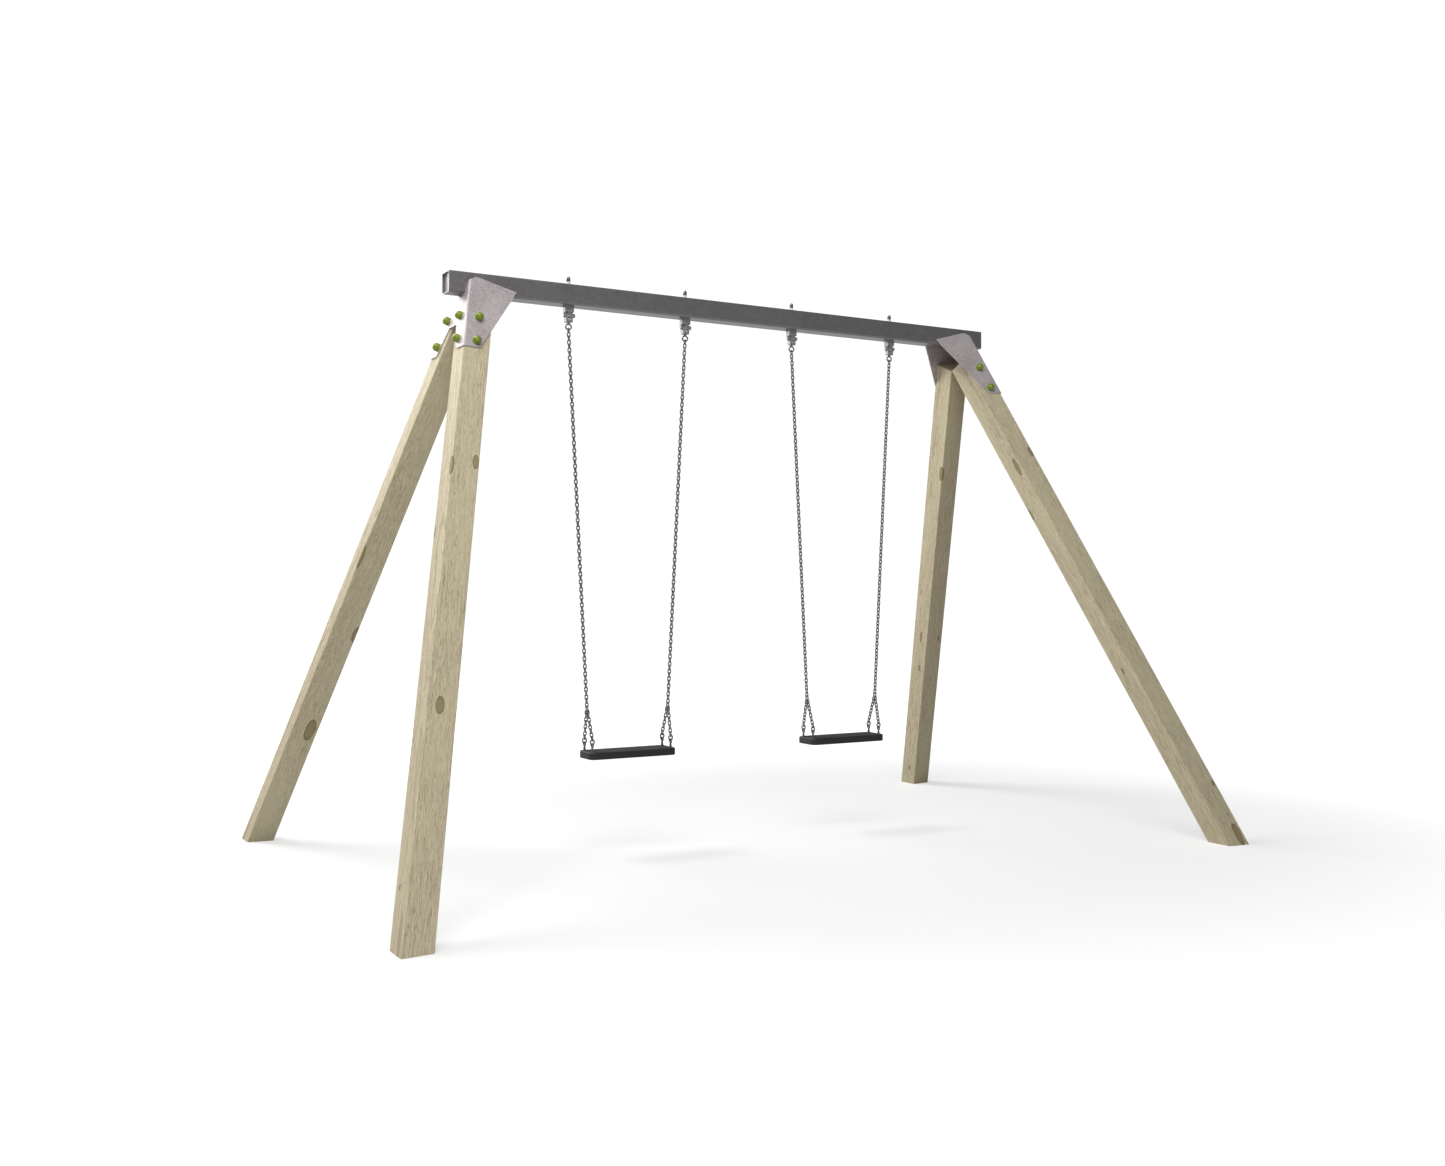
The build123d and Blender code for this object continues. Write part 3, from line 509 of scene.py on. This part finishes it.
def grip_pattern(shape, low, high, seat):
    """Staggered rows of grip studs on the seat's top, clear of its corners and eyes."""
    top = high.z
    middle = (low + high) / 2
    eye_x = (high.x - low.x) / 2 - 0.0205
    eye_y = 0.046
    half_length = (high.x - low.x) / 2 - seat.margin
    half_depth = (high.y - low.y) / 2 - seat.margin
    row_pitch = seat.stud_pitch * math.sqrt(3) / 2
    rows = int(half_depth / row_pitch)
    columns = int(half_length / seat.stud_pitch)
    corner = 0.022
    for row in range(-rows, rows + 1):
        y = row * row_pitch
        shift = 0.5 * (row % 2)
        for column in range(-columns, columns + 1):
            x = (column + shift) * seat.stud_pitch
            over_x = abs(x) - (half_length - corner)
            over_y = abs(y) - (half_depth - corner)
            if abs(x) > half_length or (over_x > 0 and over_y > 0 and math.hypot(over_x, over_y) > corner):
                continue
            if math.hypot(abs(x) - eye_x, abs(y) - eye_y) < 0.019:
                continue
            dome_stud(shape, Vector((middle.x + x, middle.y + y, top)), seat.stud_radius,
                      seat.stud_height)


def seat_rim(shape, low, high):
    """A parting line that runs round the side of the moulded seat."""
    radius = 0.032
    wire = 0.0011
    height = (low.z + high.z) / 2 - 0.002
    middle = (low + high) / 2
    half = Vector(((high.x - low.x) / 2 - radius, (high.y - low.y) / 2 - radius))
    corners = ((1, 1, 0), (-1, 1, 1), (-1, -1, 2), (1, -1, 3))
    route = []
    for sign_x, sign_y, quarter in corners:
        for step in range(9):
            turn = math.pi / 2 * (quarter + step / 8)
            route.append((Vector((middle.x + sign_x * half.x, middle.y + sign_y * half.y, height)),
                          Vector((math.cos(turn), math.sin(turn), 0.0))))
    rings = []
    for centre, out in route:
        rings.append([shape.verts.new(centre + out * (radius + wire * math.cos(turn) * 0.6)
                                      + Vector((0, 0, wire * math.sin(turn))))
                      for turn in (math.tau * index / 6 for index in range(6))])
    for near, far in zip(rings, rings[1:] + rings[:1]):
        for index in range(6):
            following = (index + 1) % 6
            shape.faces.new((near[index], near[following], far[following], far[index]))


# ---- operators -----------------------------------------------------------------------
class FinishLegs(bpy.types.Operator):
    """Give each timber leg its own grain and knots"""

    bl_idname = "swing_set.finish_legs"
    bl_label = "Timber Legs"

    def execute(self, context):
        for name in LEGS:
            dress([name], timber_material(name, context.scene.swing_timber))
        return {"FINISHED"}


class FinishBeam(bpy.types.Operator):
    """Galvanise the beam and its end plates"""

    bl_idname = "swing_set.finish_beam"
    bl_label = "Top Beam"

    def execute(self, context):
        steel = context.scene.swing_steel
        dress(["top_beam"], zinc_material("beam_zinc", steel.beam, 0.45, (0.34, 0.46), 0.7, 0.02))
        dress(["left_beam_end_plate", "right_beam_end_plate"],
              zinc_material("end_plate_zinc", steel.bracket, 0.35))
        return {"FINISHED"}


class FinishBrackets(bpy.types.Operator):
    """Galvanise the head brackets and lay the welds that hold them to the beam"""

    bl_idname = "swing_set.finish_brackets"
    bl_label = "Head Brackets"

    def execute(self, context):
        steel = context.scene.swing_steel
        timber = context.scene.swing_timber
        zinc = zinc_material("bracket_zinc", steel.bracket, 0.35, (0.42, 0.58), 1.7, 0.20)
        dress(BRACKETS, zinc)
        beam_low, beam_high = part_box("top_beam")
        half = (beam_high.y - beam_low.y) / 2
        for leg_name in LEGS:
            axes = LegAxes(leg_name, timber)
            reach = (abs(axes.corner.y) - half) / math.sin(timber.rake)
            outer, inner = 0.034, 0.228
            start, end = (axes.point(reach, inset, -0.003) for inset in (outer, inner))

            def build(shape, start=start, end=end):
                weld_bead(shape, start, end, steel.weld_radius)

            add_piece(f"weld_{leg_name.replace('_leg', '')}", build, zinc, "frame")
        return {"FINISHED"}


class FinishCaps(bpy.types.Operator):
    """Colour the screw caps and dress the screws under them"""

    bl_idname = "swing_set.finish_caps"
    bl_label = "Screw Caps"

    def execute(self, context):
        plastic = context.scene.swing_plastic
        dress(["bolt_caps", "bolt_cap_bases"], cap_material(plastic))
        dress(["leg_coach_screws", "leg_screw_washers"],
              zinc_material("screw_zinc", context.scene.swing_steel.hardware, 0.8, (0.28, 0.42)))
        return {"FINISHED"}


class FinishHangers(bpy.types.Operator):
    """Dress the blocks, studs, clevises and pivot bolts of the four hangers"""

    bl_idname = "swing_set.finish_hangers"
    bl_label = "Hangers"

    def execute(self, context):
        steel = context.scene.swing_steel
        blocks = [f"hanger_block_{number}" for number in range(1, 5)]
        moving = [f"{bay}_swing_{part}" for bay in BAYS for part in MOVING_HANGER_PARTS]
        dress(blocks + moving,
              zinc_material("hanger_zinc", steel.hardware, 0.6, (0.38, 0.56), 1.6, 0.14))
        dress(["hanger_studs", "hanger_dome_nuts"],
              zinc_material("stud_zinc", shaded(steel.hardware, 0.7), 0.75, (0.28, 0.42)))
        dress(["hanger_stud_nuts", "hanger_stud_washers"],
              zinc_material("bright_zinc", (0.86, 0.86, 0.85), 0.2, (0.30, 0.44), 2.0, 0.05))
        dress(["hanger_lock_rings"], plain_moulding("nylon", context.scene.swing_plastic.nylon))
        dress(["hanger_bushes"], plain_moulding("bush_bronze", (0.42, 0.28, 0.12), (0.3, 0.45)))
        return {"FINISHED"}


class FinishChains(bpy.types.Operator):
    """Dress the chains, bridles, rings and eyes"""

    bl_idname = "swing_set.finish_chains"
    bl_label = "Chains"

    def execute(self, context):
        steel = context.scene.swing_steel
        names = [f"{bay}_swing_{part}" for bay in BAYS for part in CHAIN_PARTS]
        dress(names, zinc_material("chain_zinc", steel.chain, 0.85, (0.22, 0.38), 2.5, 0.12))
        return {"FINISHED"}


class FinishSeats(bpy.types.Operator):
    """Dress the rubber seats and mould their grip studs and parting lines"""

    bl_idname = "swing_set.finish_seats"
    bl_label = "Seats"

    def execute(self, context):
        seat = context.scene.swing_seat
        rubber = rubber_material(seat)
        zinc = zinc_material("seat_fixing_zinc", context.scene.swing_steel.hardware, 0.7)
        for bay in BAYS:
            name = f"{bay}_swing_seat"
            dress([name], rubber)
            dress([f"{name}_insert", f"{name}_washers", f"{name}_nuts"], zinc)
            low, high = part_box(name)

            def build(shape, low=low, high=high):
                grip_pattern(shape, low, high, seat)
                seat_rim(shape, low, high)

            add_piece(f"{bay}_seat_grip", build, rubber, f"{bay}_seat")
        return {"FINISHED"}


class BuildStage(bpy.types.Operator):
    """Lay the floor, set the lights and place the camera"""

    bl_idname = "swing_set.build_stage"
    bl_label = "Stage"

    def execute(self, context):
        stage = context.scene.swing_stage
        scene = context.scene
        self.lay_floor(stage)
        self.light_world(scene, stage)
        self.softbox("key_softbox", (-3.9, 2.9, 7.4), (-0.3, 0.0, 0.8), 3.2, stage.key)
        self.softbox("rim_softbox", (-2.9, 6.4, 4.9), (-1.6, -0.1, 2.4), 3.4, stage.rim)
        self.softbox("front_softbox", (-3.6, -5.2, 7.4), (-0.2, 0.0, 1.0), 6.0, stage.front)
        camera_data = bpy.data.cameras.new("camera")
        camera_data.lens = stage.camera_lens
        camera_data.sensor_width = 36.0
        camera_data.sensor_fit = "HORIZONTAL"
        camera_data.clip_end = 200.0
        camera = bpy.data.objects.new("camera", camera_data)
        camera.location = stage.camera_place
        camera.rotation_euler = stage.camera_turn
        scene.collection.objects.link(camera)
        bpy.context.scene.camera = camera
        scene.view_settings.view_transform = "Standard"
        return {"FINISHED"}

    def lay_floor(self, stage):
        half = 60.0
        mesh = bpy.data.meshes.new("floor")
        corners = [(-half, -half, 0.0), (half, -half, 0.0), (half, half, 0.0), (-half, half, 0.0)]
        mesh.from_pydata(corners, [], [(0, 1, 2, 3)])
        floor = bpy.data.objects.new("floor", mesh)
        recipe = Recipe("floor_paint")
        place = recipe.place()
        cloud = recipe.noise(place, 0.8, 2.0)
        tone = stage.floor_tone
        colour = recipe.mix(cloud, (tone * 0.99,) * 3, (tone,) * 3)
        far = recipe.ramp(recipe.vector("LENGTH", place), 1.8, 6.5)
        glow = recipe.math("ADD", stage.floor_glow,
                           recipe.math("MULTIPLY", far, 1.02 - stage.floor_glow))
        path = recipe.nodes.new("ShaderNodeLightPath").outputs
        mirrored = recipe.math("MULTIPLY", path["Is Glossy Ray"], 0.8)
        seen = recipe.math("MAXIMUM", path["Is Camera Ray"], mirrored)
        recipe.shader.inputs["Emission Color"].default_value = (1.0, 1.0, 1.0, 1.0)
        recipe.feed(recipe.shader.inputs["Emission Strength"], recipe.math("MULTIPLY", glow, seen))
        mesh.materials.append(recipe.finish(colour, 0.9, 0.0, Specular_IOR_Level=0.0))
        bpy.context.scene.collection.objects.link(floor)

    def light_world(self, scene, stage):
        world = bpy.data.worlds.new("studio")
        world.use_nodes = True
        scene.world = world
        nodes, links = world.node_tree.nodes, world.node_tree.links
        shown = nodes["Background"]
        shown.inputs["Color"].default_value = (1.0, 1.0, 1.0, 1.0)
        shown.inputs["Strength"].default_value = 1.05
        fill = nodes.new("ShaderNodeBackground")
        fill.inputs["Color"].default_value = (0.98, 0.99, 1.0, 1.0)
        direction = nodes.new("ShaderNodeTexCoord").outputs["Generated"]
        aim = nodes.new("ShaderNodeVectorMath")
        aim.operation = "DOT_PRODUCT"
        aim.inputs[1].default_value = Vector((-0.35, 0.85, 0.38)).normalized()
        links.new(direction, aim.inputs[0])
        glow = nodes.new("ShaderNodeMapRange")
        glow.interpolation_type = "SMOOTHSTEP"
        glow.inputs["From Min"].default_value = 0.55
        glow.inputs["To Min"].default_value = stage.fill
        glow.inputs["To Max"].default_value = stage.backlight
        links.new(aim.outputs["Value"], glow.inputs["Value"])
        links.new(glow.outputs["Result"], fill.inputs["Strength"])
        path = nodes.new("ShaderNodeLightPath")
        blend = nodes.new("ShaderNodeMixShader")
        links.new(path.outputs["Is Camera Ray"], blend.inputs[0])
        links.new(fill.outputs[0], blend.inputs[1])
        links.new(shown.outputs[0], blend.inputs[2])
        links.new(blend.outputs[0], nodes["World Output"].inputs["Surface"])

    def softbox(self, name, place, target, size, power):
        data = bpy.data.lights.new(name, "AREA")
        data.shape = "SQUARE"
        data.size = size
        data.energy = power
        lamp = bpy.data.objects.new(name, data)
        lamp.location = place
        lamp.rotation_euler = (Vector(target) - Vector(place)).to_track_quat("-Z", "Y").to_euler()
        bpy.context.scene.collection.objects.link(lamp)


class SwingSetPanel(bpy.types.Panel):
    """Lists the finishing steps"""

    bl_idname = "VIEW3D_PT_swing_set"
    bl_label = "Swing Set"
    bl_space_type = "VIEW_3D"
    bl_region_type = "UI"
    bl_category = "Swing Set"

    def draw(self, context):
        for step in STEPS:
            self.layout.operator(step.bl_idname)
        for group in SETTINGS:
            settings = getattr(context.scene, group)
            box = self.layout.box()
            for key in settings.bl_rna.properties.keys():
                if key not in {"name", "rna_type"}:
                    box.prop(settings, key)


STEPS = (BuildStage, FinishLegs, FinishBeam, FinishBrackets, FinishCaps, FinishHangers,
         FinishChains, FinishSeats)
SETTINGS = {"swing_timber": TimberSettings, "swing_steel": SteelSettings,
            "swing_plastic": PlasticSettings, "swing_seat": SeatSettings,
            "swing_stage": StageSettings}


def register():
    for settings in SETTINGS.values():
        bpy.utils.register_class(settings)
    for step in STEPS:
        bpy.utils.register_class(step)
    bpy.utils.register_class(SwingSetPanel)
    for name, settings in SETTINGS.items():
        setattr(bpy.types.Scene, name, bpy.props.PointerProperty(type=settings))


def unregister():
    for name in SETTINGS:
        delattr(bpy.types.Scene, name)
    bpy.utils.unregister_class(SwingSetPanel)
    for step in reversed(STEPS):
        bpy.utils.unregister_class(step)
    for settings in SETTINGS.values():
        bpy.utils.unregister_class(settings)


def main():
    register()
    for step in STEPS:
        group, action = step.bl_idname.split(".")
        getattr(getattr(bpy.ops, group), action)()


if __name__ == "__main__":
    main()
